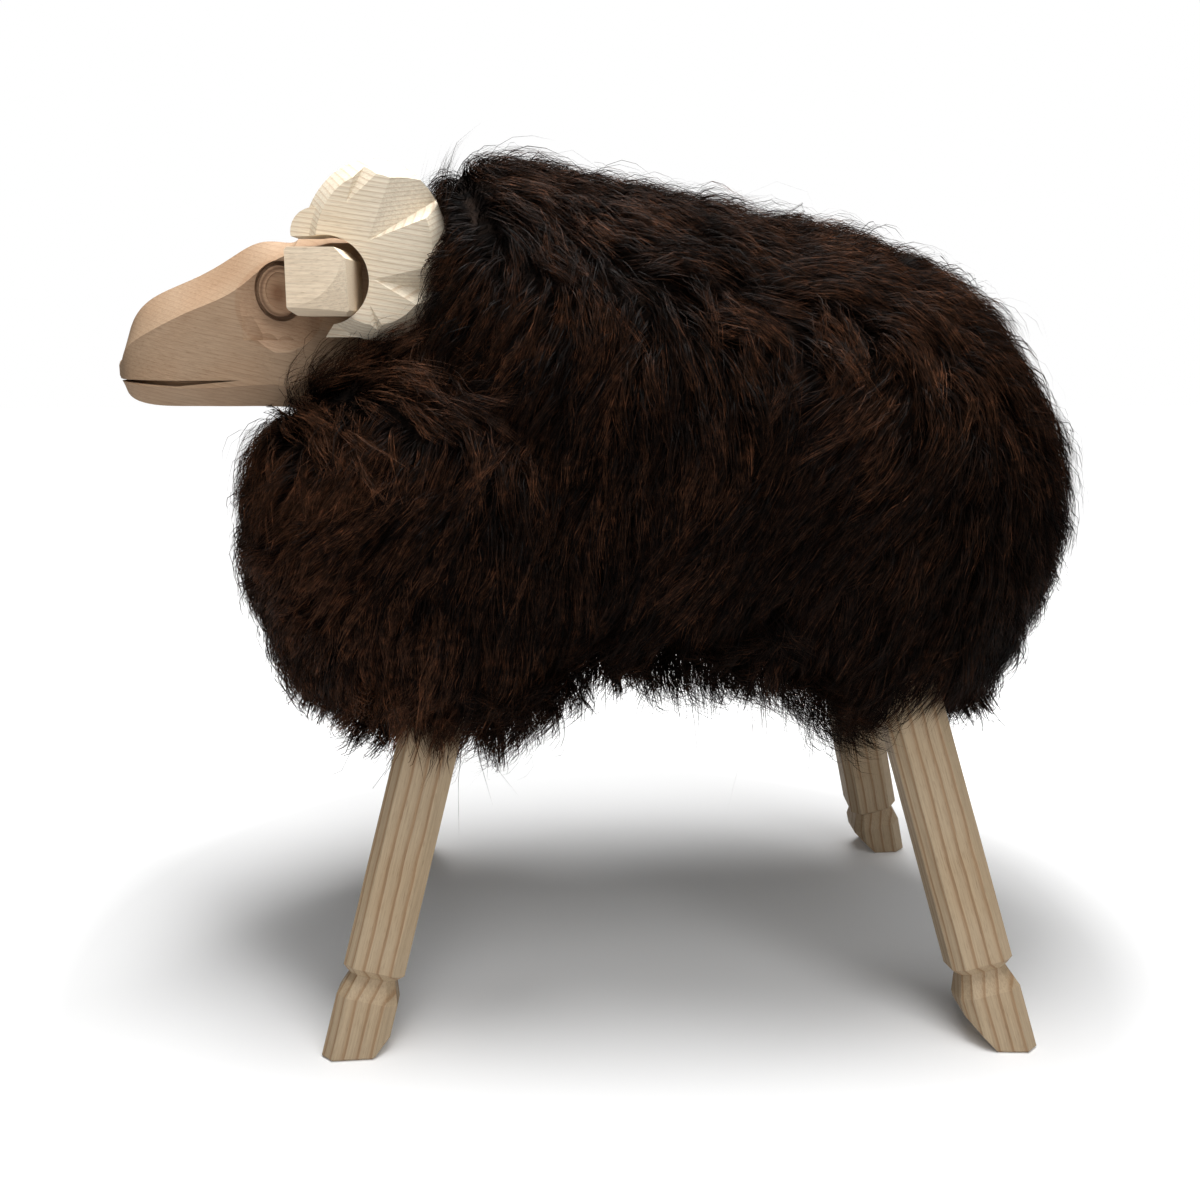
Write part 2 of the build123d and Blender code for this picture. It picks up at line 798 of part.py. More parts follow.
def tufted_body():
    """Trunk and chest together, with the relief of the wool."""
    trunk = tufted_form(trunk_section_shares, trunk_front, trunk_rear, trunk_top, trunk_bottom, trunk_width)
    chest = tufted_form(chest_section_shares, chest_front, chest_rear, chest_top, chest_bottom, chest_width)
    return trunk + chest


def body(inset):
    """Trunk and chest together, drawn in by inset."""
    trunk = body_form(
        trunk_section_shares, trunk_front, trunk_rear, trunk_top, trunk_bottom, trunk_width, inset
    )
    chest = body_form(
        chest_section_shares, chest_front, chest_rear, chest_top, chest_bottom, chest_width, inset
    )
    return trunk + chest


def belly_opening(clearance):
    """Rounded slot under the belly, up to the underside of the core."""
    face = RectangleRounded(
        belly_opening_length + 2 * clearance, belly_opening_width + 2 * clearance, belly_opening_radius
    )
    return Pos(opening_middle(), 0, 0) * extrude(face, core_bottom)


def opening_middle():
    """Middle of the belly opening, halfway between the blocks."""
    return (block_middle(True) + block_middle(False)) / 2


def belly_cloth():
    """Cloth tacked to the underside of the core."""
    face = RectangleRounded(
        belly_opening_length - 2 * soft_gap, belly_opening_width - 2 * soft_gap, belly_opening_radius
    )
    cloth = Pos(opening_middle(), 0, core_bottom - cloth_thickness) * extrude(face, cloth_thickness)
    for piece in cloth_tacks(glue_gap):
        cloth -= piece
    return cloth


def cloth_tacks(clearance=0.0):
    """Tacks round the edge of the belly cloth, driven up into the rails and the blocks."""
    tacks = []
    inner = block_middle(False) - block_middle(True) - block_length
    for across in (-1, 1):
        for index in range(tacks_along):
            x = opening_middle() - inner / 2 + inner * (index + 0.5) / tacks_along
            tacks.append(tack(x, across * (belly_opening_width / 2 - tack_edge_distance), clearance))
    for end in (-1, 1):
        for index in range(tacks_across):
            x = opening_middle() + end * (belly_opening_length / 2 - tack_edge_distance)
            spread = belly_opening_width - 2 * belly_opening_radius
            y = -spread / 2 + spread * index / (tacks_across - 1)
            tacks.append(tack(x, y, clearance))
    return tacks


def tack(x, y, clearance):
    """One tack with a flat head under the cloth."""
    under = (Align.CENTER, Align.CENTER, Align.MAX)
    upright = (Align.CENTER, Align.CENTER, Align.MIN)
    level = core_bottom - cloth_thickness
    head_radius = tack_head_diameter / 2 + clearance
    shank_radius = tack_shank_diameter / 2 + clearance
    disc = Cylinder(head_radius, tack_head_height, align=under)
    return Pos(x, y, level) * (disc + Cylinder(shank_radius, tack_length, align=upright))


def soft_cutter():
    """Everything wooden, swollen a little, to cut out of the soft pieces."""
    pieces = []
    for front in (True, False):
        for left in (True, False):
            place = leg_place(front, left)
            shaft = [lath_section(place, height, -soft_gap) for height in (0, board_top)]
            pieces.append(loft(shaft, ruled=True) & slab(0, core_bottom + soft_gap))
        middle = Pos(block_middle(front), 0, core_bottom + block_height / 2)
        gap = 2 * soft_gap
        pieces.append(middle * Box(block_length + gap, block_width + gap, block_height + gap))
    board_box = seat_board().bounding_box()
    pieces.append(swollen_box(board_box))
    pieces.append(swollen_box(neck_post().bounding_box()))
    pieces += [swollen_box(side_rail(left).bounding_box()) for left in (True, False)]
    return pieces


def swollen_box(box):
    """Box with soft_gap of room all round."""
    gap = 2 * soft_gap
    return Pos(*box.center()) * Box(box.size.X + gap, box.size.Y + gap, box.size.Z + gap)


def head_room():
    """Head and horns with room round them, to cut out of the soft pieces."""
    x, z = horn_middle()
    thick = head_width + 2 * horn_thickness + 2 * soft_gap
    horns = extrude(
        side_face(x, z, -thick / 2) * Ellipse(horn_length / 2 + soft_gap, horn_height / 2 + soft_gap), thick
    )
    return [head_blank(-soft_gap), horns]


def fleece():
    """Sheepskin over the whole body, as a thick shell with the tufts of its wool."""
    shell = tufted_body() - body(fleece_thickness) - belly_opening(0)
    for piece in head_room() + soft_cutter():
        shell -= piece
    return shell


def padding():
    """Shaped foam between the sheepskin and the wooden core."""
    solid = body(fleece_thickness + foam_gap) - belly_opening(foam_gap)
    for piece in head_room() + soft_cutter():
        solid -= piece
    return solid


def group(pieces):
    """Several separate solids as one named group."""
    return Compound(list(pieces))


def build():
    """Every sub-part by name."""
    parts = {
        "head": head(),
        "horn_left": horn_left(),
        "ear_left": ear_left(),
        "neck_post": neck_post(),
        "neck_dowels": group(neck_dowels()),
        "post_dowels": group(post_dowels()),
        "front_block": cross_block(True),
        "rear_block": cross_block(False),
        "seat_board": seat_board(),
        "rail_dowels": group(rail_dowels()),
        "seat_screws": group(seat_screws()),
        "fleece": fleece(),
        "padding": padding(),
        "belly_cloth": belly_cloth(),
        "cloth_tacks": group(cloth_tacks()),
    }
    parts["horn_right"] = mirror(parts["horn_left"], Plane.XZ)
    parts["ear_right"] = mirror(parts["ear_left"], Plane.XZ)
    for side, left in (("left", True), ("right", False)):
        parts["side_rail_" + side] = side_rail(left)
        parts["leg_front_" + side] = leg(True, left)
        parts["leg_rear_" + side] = leg(False, left)
    parts["leg_wedges"] = group(wedge(front, left) for front in (True, False) for left in (True, False))
    dowels = [flip(dowel, left) for left in (True, False) for dowel in horn_dowels_left()]
    parts["horn_dowels"] = group(dowels)
    return parts


def main():
    os.makedirs("parts", exist_ok=True)
    parts = build()
    boxes = [part.bounding_box() for part in parts.values()]
    low = min(box.min.X for box in boxes)
    high = max(box.max.X for box in boxes)
    to_origin = Pos(-(low + high) / 2, 0, 0)
    for name, part in parts.items():
        export_step(to_origin * part, f"parts/{name}.step")


main()
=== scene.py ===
"""Sheepskin stool in the shape of a sheep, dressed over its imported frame. Metres, in the frame of the CAD."""

import math

import bmesh
import bpy
import numpy as np
from mathutils import Euler, Matrix, Vector, noise
from mathutils.bvhtree import BVHTree
from mathutils.kdtree import KDTree


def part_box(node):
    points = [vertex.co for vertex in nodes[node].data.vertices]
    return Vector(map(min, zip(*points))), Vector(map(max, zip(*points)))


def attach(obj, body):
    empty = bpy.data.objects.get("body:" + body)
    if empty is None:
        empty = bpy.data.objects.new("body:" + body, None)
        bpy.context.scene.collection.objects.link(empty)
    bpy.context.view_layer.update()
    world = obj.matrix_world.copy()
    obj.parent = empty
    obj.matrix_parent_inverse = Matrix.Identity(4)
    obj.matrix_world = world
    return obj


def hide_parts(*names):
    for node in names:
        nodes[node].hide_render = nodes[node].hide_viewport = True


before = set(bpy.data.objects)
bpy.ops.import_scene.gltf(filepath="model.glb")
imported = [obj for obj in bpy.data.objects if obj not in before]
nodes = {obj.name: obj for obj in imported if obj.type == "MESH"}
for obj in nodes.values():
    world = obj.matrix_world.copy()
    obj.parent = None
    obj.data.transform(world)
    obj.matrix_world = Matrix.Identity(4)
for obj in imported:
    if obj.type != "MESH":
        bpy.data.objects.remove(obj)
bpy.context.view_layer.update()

# Camera, fitted to the photograph's feet, lath width and horizon
camera_place = (-0.0232, -0.8371, 0.4139)
camera_turn = 0.037
camera_dip = 0.2083
camera_lens = 38.76
camera_sensor = 36
camera_near = 0.05

# Floor and surroundings: how far out the floor's own white starts and is full, and its least strength
floor_half = 6
floor_grey = 0.88
white_start = 0.34
white_full = 0.74
white_least = 0.04
surroundings_light = 0.06

# Lamps: name, place, aim, size and power
lamps = (
    ("top_light", (0.02, -0.02, 1.40), (0.0, 0.0, 0.2), 0.75, 26.0),
    ("front_light", (0.35, -1.25, 1.25), (-0.05, 0.0, 0.35), 1.5, 17.0),
)

# Eye in the side view, from the low front corner of the head's box: ovals of painted shade in the socket and in
# the groove round the eye, and of the eye's darker middle
eye_behind_nose = 0.106
eye_height = 0.069
socket_drop = 0.008
socket_radius = 0.0275
eye_shift = 0.001
eye_groove_shade_half = (0.0135, 0.0155)
eye_middle_half = (0.0070, 0.0090)

# Legs: lean in degrees, half the lath, and the half width that the wool keeps clear of
front_rake, front_splay = 14.1, 13.9
rear_rake, rear_splay = 14.5, 14.9
lath_half = 0.018
lath_clear = 0.0188

# Horns, from the middle of their outline: room round it, and where the wool behind and below may stay
horn_clear = 0.0008
horn_beside_head = 0.030
horn_lowest = -0.036
horn_slope, horn_drop = 1.35, 0.050
horn_least_share = 0.3

# Hide, foam and lining
skin_depth = 0.008
skin_voxel = 0.006
skin_smoothing = 4
foam_voxel = 0.008
foam_smoothing = 3
merge_distance = 0.00002
lining_columns, lining_rows = 72, 28
lining_corner = 0.030
lining_thickness = 0.0010
lining_gap = 0.0006
lining_sag = 0.0030
sag_start, sag_width, sag_power = 0.010, 0.040, 0.6
ripple_height, ripple_turns, ripple_edge = 0.0007, 110, 0.02

# Wool: amounts, then the strand's own shape
strand_count = 185000
lock_count = 10000
piece_limit = 21000
tone_bands = 48
wool_seed = 11
strand_segments = 5
strand_width = 0.00058
strand_taper, taper_power = 0.72, 1.6
loose_share = 0.05

# Wool: how far a lock reaches and stands up, and how its strands wave, in metres or shares
lock_reach = 0.034
reach_less_on_spine = 0.003
reach_less_under = 0.013
reach_spread = 0.17
lock_lift = 0.0112
lift_swirl = 0.0046
lift_spread = 0.0026
lift_on_spine, lift_hanging, lift_at_ends = 0.30, 0.90, 0.35
droop = 0.004
wave_height, wave_turns = (0.0008, 0.0026), 0.85
crimp_height, crimp_turns = (0.0006, 0.0015), 2.1
clump_share = (0.55, 0.93)
frizz_size = 0.0016
lock_blur = 0.0011
deepest_fall = 0.030

# Wool: where it is kept short of, and where the pieces part
wool_top = 0.522
wool_rear = 0.303
past_limit_share = 0.55
bare_below_solid = 0.014
opening_edge = 0.004
opening_depth = 0.02
chest_end = -0.185
rump_start = 0.240
withers_end = 0.03
shoulder_end = -0.02


def node(tree, kind, inputs=None, **settings):
    """Shader node with its settings, and with its inputs linked or set."""
    made = tree.nodes.new("ShaderNode" + kind)
    for name, value in settings.items():
        setattr(made, name, value)
    for name, value in (inputs or {}).items():
        if isinstance(value, bpy.types.NodeSocket):
            tree.links.new(value, made.inputs[name])
        else:
            made.inputs[name].default_value = value
    return made


def ramp(tree, factor, stops):
    """Colour ramp through stops of (position, colour)."""
    made = node(tree, "ValToRGB", {"Fac": factor})
    elements = made.color_ramp.elements
    while len(elements) < len(stops):
        elements.new(0.5)
    for element, (position, colour) in zip(elements, stops):
        element.position = position
        element.color = (*colour, 1)
    return made.outputs["Color"]


def mixed(tree, kind, factor, first, second):
    """Colour mix of two colours or sockets."""
    made = node(tree, "Mix", data_type="RGBA", blend_type=kind)
    for index, value in ((0, factor), (6, first), (7, second)):
        if isinstance(value, bpy.types.NodeSocket):
            tree.links.new(value, made.inputs[index])
        elif index:
            made.inputs[index].default_value = (*value, 1)
        else:
            made.inputs[index].default_value = value
    return made.outputs[2]


def blank(name, roughness, specular=0.5):
    """Material with one plain shader and its node tree."""
    material = bpy.data.materials.new(name)
    material.use_nodes = True
    tree = material.node_tree
    shader = tree.nodes["Principled BSDF"]
    shader.inputs["Roughness"].default_value = roughness
    shader.inputs["Specular IOR Level"].default_value = specular
    return material, tree, shader


def stretched_noise(tree, vector, scale, detail=3.0, roughness=0.55):
    """Noise whose grain is stretched by a different scale along each axis."""
    place = node(tree, "Mapping", {"Vector": vector, "Scale": scale})
    texture = node(
        tree, "TexNoise", {"Vector": place.outputs[0], "Scale": 1.0, "Detail": detail, "Roughness": roughness}
    )
    return texture.outputs["Fac"]


def wood(name, pale, late, spacing, place, turn, pith, sway, depth, patch=(0.96, 0.93, 0.90)):
    """Sawn and carved wood: growth rings round a pith line along X, with fibres, pores and patches."""
    material, tree, shader = blank(name, 0.62, 0.35)
    point = node(tree, "TexCoord").outputs["Object"]
    grain = node(
        tree, "Mapping", {"Vector": point, "Location": place, "Rotation": turn}, vector_type="TEXTURE"
    ).outputs[0]
    wander = node(tree, "TexNoise", {"Vector": grain, "Scale": 16.0, "Detail": 2.0})
    offset = node(tree, "VectorMath", {0: wander.outputs["Color"], 1: (0.5, 0.5, 0.5)}, operation="SUBTRACT")
    offset = node(tree, "VectorMath", {0: offset.outputs[0], "Scale": sway}, operation="SCALE")
    swayed = node(tree, "VectorMath", {0: grain, 1: offset.outputs[0]}, operation="ADD")
    across = node(tree, "VectorMath", {0: swayed.outputs[0], 1: (0, 1, 1)}, operation="MULTIPLY")
    reach = node(tree, "VectorMath", {0: across.outputs[0], 1: (0, *pith)}, operation="SUBTRACT")
    radius = node(tree, "VectorMath", {0: reach.outputs[0]}, operation="LENGTH").outputs["Value"]
    rings = node(tree, "Math", {0: radius, 1: spacing}, operation="DIVIDE")
    phase = node(tree, "Math", {0: rings.outputs[0]}, operation="FRACT").outputs[0]
    middle = tuple(p + (l - p) * 0.30 * depth for p, l in zip(pale, late))
    dark = tuple(p + (l - p) * depth for p, l in zip(pale, late))
    colour = ramp(
        tree, phase, [(0.0, pale), (0.45, pale), (0.68, middle), (0.84, dark), (0.93, dark), (1.0, pale)]
    )
    fibre = stretched_noise(tree, grain, (25, 1100, 1100))
    fibre_tone = ramp(tree, fibre, [(0.30, (0.78, 0.76, 0.74)), (0.62, (1.0, 1.0, 1.0))])
    colour = mixed(tree, "MULTIPLY", 0.8, colour, fibre_tone)
    pores = stretched_noise(tree, grain, (160, 2600, 2600), 1.0)
    pore_tone = ramp(tree, pores, [(0.32, (0.58, 0.52, 0.46)), (0.42, (1.0, 1.0, 1.0))])
    colour = mixed(tree, "MULTIPLY", 0.4, colour, pore_tone)
    patches = node(tree, "TexNoise", {"Vector": grain, "Scale": 22.0, "Detail": 3.0}).outputs["Fac"]
    patch_tone = ramp(tree, patches, [(0.35, patch), (0.65, (1.0, 1.0, 1.0))])
    colour = mixed(tree, "MULTIPLY", 0.9, colour, patch_tone)
    tree.links.new(colour, shader.inputs["Base Color"])
    relief = mixed(tree, "MIX", 0.35, grey(tree, fibre), grey(tree, phase))
    bump = node(tree, "Bump", {"Strength": 0.35, "Distance": 0.0004, "Height": relief})
    tree.links.new(bump.outputs[0], shader.inputs["Normal"])
    return material


def grey(tree, value):
    """Grey colour from a single value."""
    return ramp(tree, value, [(0.0, (0.0, 0.0, 0.0)), (1.0, (1.0, 1.0, 1.0))])


def wool_material():
    """Dark wool whose locks turn brown towards their tips, with painted highlights and painted shade in fine
    spots: u holds a strand's tone, which carries the locks' painted light, and v runs root to tip.
    """
    material, tree, shader = blank("wool", 0.50, 0.035)
    place = node(tree, "UVMap", uv_map="OFBake").outputs[0]
    parts = node(tree, "SeparateXYZ", {"Vector": place})
    along = parts.outputs["Y"]
    dark = ramp(
        tree,
        along,
        [(0.0, (0.0012, 0.0008, 0.0006)), (0.45, (0.0030, 0.0018, 0.0013)), (1.0, (0.0085, 0.0048, 0.0032))],
    )
    brown = ramp(
        tree,
        along,
        [(0.0, (0.0030, 0.0016, 0.0011)), (0.40, (0.016, 0.0076, 0.0044)), (1.0, (0.150, 0.070, 0.037))],
    )
    colour = mixed(tree, "MIX", parts.outputs["X"], dark, brown)
    grain = node(tree, "Mapping", {"Vector": place, "Scale": (90.0, 3.0, 1.0)})
    flecks = node(tree, "TexNoise", {"Vector": grain.outputs[0], "Scale": 1.0, "Detail": 2.0}).outputs["Fac"]
    fleck_tone = ramp(tree, flecks, [(0.30, (0.62, 0.60, 0.60)), (0.70, (1.25, 1.22, 1.20))])
    colour = mixed(tree, "MULTIPLY", 1.0, colour, fleck_tone)
    point = node(tree, "TexCoord").outputs["Object"]
    # Painted highlights and painted shade: fine noise brightens and darkens the strands in spots a few
    # millimetres across, standing in for light on crimp crests and shade between them.
    crimp = node(tree, "TexNoise", {"Vector": point, "Scale": 210.0, "Detail": 2.0, "Roughness": 0.6})
    crimp_highlight_and_shade = ramp(
        tree,
        crimp.outputs["Fac"],
        [(0.36, (0.30, 0.30, 0.30)), (0.52, (0.95, 0.92, 0.90)), (0.66, (2.1, 1.75, 1.55))],
    )
    colour = mixed(tree, "MULTIPLY", 0.9, colour, crimp_highlight_and_shade)
    tree.links.new(colour, shader.inputs["Base Color"])
    return material


def hide_material():
    """Hide and matted under-wool below the long locks."""
    material, tree, shader = blank("under_wool", 0.9, 0.1)
    point = node(tree, "TexCoord").outputs["Object"]
    tufts = node(tree, "TexNoise", {"Vector": point, "Scale": 140.0, "Detail": 6.0}).outputs["Fac"]
    colour = ramp(tree, tufts, [(0.35, (0.004, 0.003, 0.0025)), (0.70, (0.022, 0.013, 0.009))])
    tree.links.new(colour, shader.inputs["Base Color"])
    bump = node(tree, "Bump", {"Strength": 0.9, "Distance": 0.003, "Height": tufts})
    tree.links.new(bump.outputs[0], shader.inputs["Normal"])
    return material


def foam_material():
    """Open cell foam, yellowish, with fine cells."""
    material, tree, shader = blank("foam", 0.95, 0.1)
    point = node(tree, "TexCoord").outputs["Object"]
    cells = node(tree, "TexVoronoi", {"Vector": point, "Scale": 700.0}).outputs["Distance"]
    colour = ramp(tree, cells, [(0.0, (0.55, 0.50, 0.34)), (0.6, (0.86, 0.80, 0.60))])
    tree.links.new(colour, shader.inputs["Base Color"])
    bump = node(tree, "Bump", {"Strength": 0.6, "Distance": 0.001, "Height": cells})
    tree.links.new(bump.outputs[0], shader.inputs["Normal"])
    return material


def cloth_material():
    """Plain weave: two crossed sets of threads."""
    material, tree, shader = blank("lining_cloth", 0.88, 0.15)
    point = node(tree, "TexCoord").outputs["Object"]
    threads = []
    for axis, turn in (("X", 0.0), ("Y", 0.6)):
        placing = {"Vector": point, "Scale": (1600.0, 1600.0, 0.0), "Rotation": (0, 0, turn)}
        place = node(tree, "Mapping", placing).outputs[0]
        wave = {"Vector": place, "Scale": 1.0, "Distortion": 0.4, "Detail": 1.0}
        threads.append(node(tree, "TexWave", wave, bands_direction=axis).outputs["Fac"])
    weave = node(tree, "Math", {0: threads[0], 1: threads[1]}, operation="MULTIPLY").outputs[0]
    colour = ramp(tree, weave, [(0.0, (0.020, 0.017, 0.016)), (1.0, (0.085, 0.072, 0.066))])
    tree.links.new(colour, shader.inputs["Base Color"])
    bump = node(tree, "Bump", {"Strength": 0.5, "Distance": 0.0004, "Height": weave})
    tree.links.new(bump.outputs[0], shader.inputs["Normal"])
    return material


def steel_material():
    """Bright zinc on screws and tacks, with a little haze."""
    material, tree, shader = blank("zinc_steel", 0.35)
    shader.inputs["Metallic"].default_value = 1.0
    point = node(tree, "TexCoord").outputs["Object"]
    haze = node(tree, "TexNoise", {"Vector": point, "Scale": 900.0, "Detail": 3.0}).outputs["Fac"]
    colour = ramp(tree, haze, [(0.3, (0.42, 0.42, 0.43)), (0.7, (0.66, 0.66, 0.67))])
    tree.links.new(colour, shader.inputs["Base Color"])
    rough = ramp(tree, haze, [(0.3, (0.5, 0.5, 0.5)), (0.7, (0.28, 0.28, 0.28))])
    tree.links.new(rough, shader.inputs["Roughness"])
    return material


def dress(material, *names):
    """Gives CAD nodes one material."""
    for name in names:
        data = nodes[name].data
        data.materials.clear()
        data.materials.append(material)


def leg_turn(front, left):
    """Foot of a leg and the rotation of its own axes: X runs up the leg."""
    low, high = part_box(f"leg_{'front' if front else 'rear'}_{'left' if left else 'right'}")
    rake = math.radians(front_rake if front else rear_rake) * (1 if front else -1)
    splay = math.radians(front_splay if front else rear_splay) * (1 if left else -1)
    axis = Vector((math.tan(rake), math.tan(splay), 1)).normalized()
    side = Vector((0, 1, 0))
    face = axis.cross(side).normalized()
    side = face.cross(axis).normalized()
    turn = Matrix((axis, side, face)).transposed().to_euler()
    foot_x = low.x + lath_half if front else high.x - lath_half
    foot_y = low.y + lath_half if left else high.y - lath_half
    return (foot_x, foot_y, 0.0), tuple(turn)


def stain_and_painted_shade(material, x, z, half_x, half_z, stops):
    """Tints a wood inside an oval seen from the side: painted shade in the socket and the groove round the eye,
    and the eye's darker middle.
    """
    tree = material.node_tree
    socket = tree.nodes["Principled BSDF"].inputs["Base Color"]
    point = node(tree, "TexCoord").outputs["Object"]
    placing = {"Vector": point, "Location": (x, 0.0, z), "Scale": (half_x, 1000.0, half_z)}
    oval = node(tree, "Mapping", placing, vector_type="TEXTURE")
    away = node(tree, "VectorMath", {0: oval.outputs[0]}, operation="LENGTH").outputs["Value"]
    tint = ramp(tree, away, stops)
    tree.links.new(mixed(tree, "MULTIPLY", 1.0, socket.links[0].from_socket, tint), socket)


def eye_stain_and_painted_shade(head):
    """Painted shade with a redder tone in the socket, a dark line of painted shade in the groove round the eye,
    and a darker middle of the eye.
    """
    low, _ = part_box("head")
    x, z = low.x + eye_behind_nose, low.z + eye_height
    clear = (1.0, 1.0, 1.0)
    # Painted shade with a redder tone in the socket: the wood inside the socket's oval is darkened and
    # reddened.
    socket_shade_and_tone = [(0.0, (0.90, 0.83, 0.79)), (0.96, (0.93, 0.87, 0.83)), (1.0, clear)]
    # Painted shade in the groove round the eye: a dark ring just inside the eye's outline.
    groove_shade_tint = [(0.78, clear), (0.9, (0.45, 0.38, 0.33)), (1.0, clear)]
    middle_tint = [(0.30, (0.62, 0.50, 0.41)), (1.0, clear)]
    stain_and_painted_shade(head, x, z - socket_drop, socket_radius, socket_radius, socket_shade_and_tone)
    stain_and_painted_shade(head, x + eye_shift, z, *eye_groove_shade_half, groove_shade_tint)
    stain_and_painted_shade(head, x - eye_shift, z - eye_shift, *eye_middle_half, middle_tint)


def dress_wood():
    """Materials of every wooden node."""
    head = wood(
        "head_wood",
        pale=(0.420, 0.292, 0.190),
        late=(0.310, 0.190, 0.110),
        spacing=0.0026,
        place=(-0.30, 0.0, 0.40),
        turn=(0.0, math.radians(12), 0.0),
        pith=(0.02, -0.30),
        sway=0.003,
        depth=0.35,
        patch=(0.93, 0.86, 0.80),
    )
    eye_stain_and_painted_shade(head)
    dress(head, "head")
    ear = wood(
        "ear_wood",
        pale=(0.860, 0.730, 0.560),
        late=(0.690, 0.510, 0.350),
        spacing=0.0024,
        place=(-0.15, 0.0, 0.44),
        turn=(0.0, 0.0, math.radians(4)),
        pith=(0.05, -0.20),
        sway=0.002,
        depth=0.30,
    )
    dress(ear, "ear_left", "ear_right")
    horn = wood(
        "horn_wood",
        pale=(0.780, 0.700, 0.570),
        late=(0.560, 0.400, 0.260),
        spacing=0.0023,
        place=(-0.13, 0.0, 0.46),
        turn=(0.0, math.radians(8), 0.0),
        pith=(0.06, -0.16),
        sway=0.0035,
        depth=0.55,
        patch=(0.98, 0.96, 0.92),
    )
    dress(horn, "horn_left", "horn_right")
    for front in (True, False):
        for left in (True, False):
            name = f"leg_{'front' if front else 'rear'}_{'left' if left else 'right'}"
            place, turn = leg_turn(front, left)
            leg = wood(
                name + "_wood",
                pale=(0.425, 0.325, 0.212),
                late=(0.285, 0.170, 0.085),
                spacing=0.0058,
                place=place,
                turn=turn,
                pith=(0.030, 0.055),
                sway=0.0035,
                depth=0.80,
                patch=(0.95, 0.92, 0.87),
            )
            dress(leg, name)
    core = wood(
        "core_wood",
        pale=(0.780, 0.640, 0.440),
        late=(0.560, 0.360, 0.190),
        spacing=0.0045,
        place=(0.0, 0.0, 0.30),
        turn=(0.0, 0.0, 0.0),
        pith=(0.03, -0.12),
        sway=0.005,
        depth=0.8,
    )
    dress(core, "front_block", "rear_block", "seat_board", "side_rail_left", "side_rail_right", "neck_post")
    beech = wood(
        "dowel_wood",
        pale=(0.740, 0.560, 0.390),
        late=(0.620, 0.420, 0.270),
        spacing=0.0018,
        place=(0.0, 0.0, 0.30),
        turn=(0.0, 0.0, 0.0),
        pith=(0.02, -0.05),
        sway=0.002,
        depth=0.4,
    )
    dress(beech, "neck_dowels", "post_dowels", "rail_dowels", "horn_dowels", "leg_wedges")
    dress(steel_material(), "seat_screws", "cloth_tacks")


def linked(name, data):
    """New object that shows the given data."""
    made = bpy.data.objects.new(name, data)
    bpy.context.scene.collection.objects.link(made)
    return made


def settled(name, piece, material, smooth=True):
    """Object with its modifiers applied, at the origin, in place of the working one."""
    graph = bpy.context.evaluated_depsgraph_get()
    mesh = bpy.data.meshes.new_from_object(piece.evaluated_get(graph))
    bpy.data.objects.remove(piece)
    made = linked(name, mesh)
    mesh.materials.clear()
    mesh.materials.append(material)
    mesh.polygons.foreach_set("use_smooth", [smooth] * len(mesh.polygons))
    return made


def merged_copy(name):
    """Working copy of a CAD node with its loose triangles merged."""
    mesh = nodes[name].data.copy()
    shape = bmesh.new()
    shape.from_mesh(mesh)
    bmesh.ops.remove_doubles(shape, verts=shape.verts, dist=merge_distance)
    shape.to_mesh(mesh)
    shape.free()
    return linked(name + "_work", mesh)


def hide_piece():
    """The hide and its matted under-wool, just inside the mean surface of the wool."""
    piece = merged_copy("fleece")
    remesh = piece.modifiers.new("remesh", "REMESH")
    remesh.mode = "VOXEL"
    remesh.voxel_size = skin_voxel
    draw_in = piece.modifiers.new("draw_in", "DISPLACE")
    draw_in.mid_level = 0.0
    draw_in.strength = -skin_depth
    soften = piece.modifiers.new("soften", "SMOOTH")
    soften.iterations = skin_smoothing
    made = settled("sheepskin", piece, hide_material())
    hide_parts("fleece")
    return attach(made, "root")


def foam_piece():
    """Foam between the hide and the wooden core, with softened edges."""
    piece = merged_copy("padding")
    remesh = piece.modifiers.new("remesh", "REMESH")
    remesh.mode = "VOXEL"
    remesh.voxel_size = foam_voxel
    soften = piece.modifiers.new("soften", "SMOOTH")
    soften.iterations = foam_smoothing
    made = settled("foam_padding", piece, foam_material())
    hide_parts("padding")
    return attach(made, "root")


def lining_piece():
    """Cloth tacked under the core, sagging a little between its tacks."""
    low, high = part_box("belly_cloth")
    centre = (low + high) / 2
    half = (high - low) / 2
    shape = bmesh.new()
    bmesh.ops.create_grid(shape, x_segments=lining_columns, y_segments=lining_rows, size=1)
    for vert in shape.verts:
        x, y = vert.co.x * half.x, vert.co.y * half.y
        over_x, over_y = abs(x) - (half.x - lining_corner), abs(y) - (half.y - lining_corner)
        if over_x > 0 and over_y > 0:
            pull = max(over_x, over_y) / math.hypot(over_x, over_y)
            x = math.copysign(half.x - lining_corner + over_x * pull, x)
            y = math.copysign(half.y - lining_corner + over_y * pull, y)
        edge = min(half.x - abs(x), half.y - abs(y))
        sag = lining_sag * min(1.0, max(0.0, edge - sag_start) / sag_width) ** sag_power
        ripple = ripple_height * math.sin(x * ripple_turns) * min(1.0, edge / ripple_edge)
        vert.co = (centre.x + x, centre.y + y, high.z - lining_gap - sag + ripple)
    mesh = bpy.data.meshes.new("lining")
    shape.to_mesh(mesh)
    shape.free()
    piece = linked("lining_work", mesh)
    wall = piece.modifiers.new("wall", "SOLIDIFY")
    wall.thickness = lining_thickness
    made = settled("belly_lining", piece, cloth_material())
    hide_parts("belly_cloth")
    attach(made, "root")
    return made


def unit(vectors):
    """Vectors of length one."""
    return vectors / np.maximum(np.linalg.norm(vectors, axis=-1, keepdims=True), 1e-9)


def smooth(values, low, high):
    """Soft step from 0 to 1 between low and high."""
    share = np.clip((values - low) / (high - low), 0, 1)
    return share * share * (3 - 2 * share)


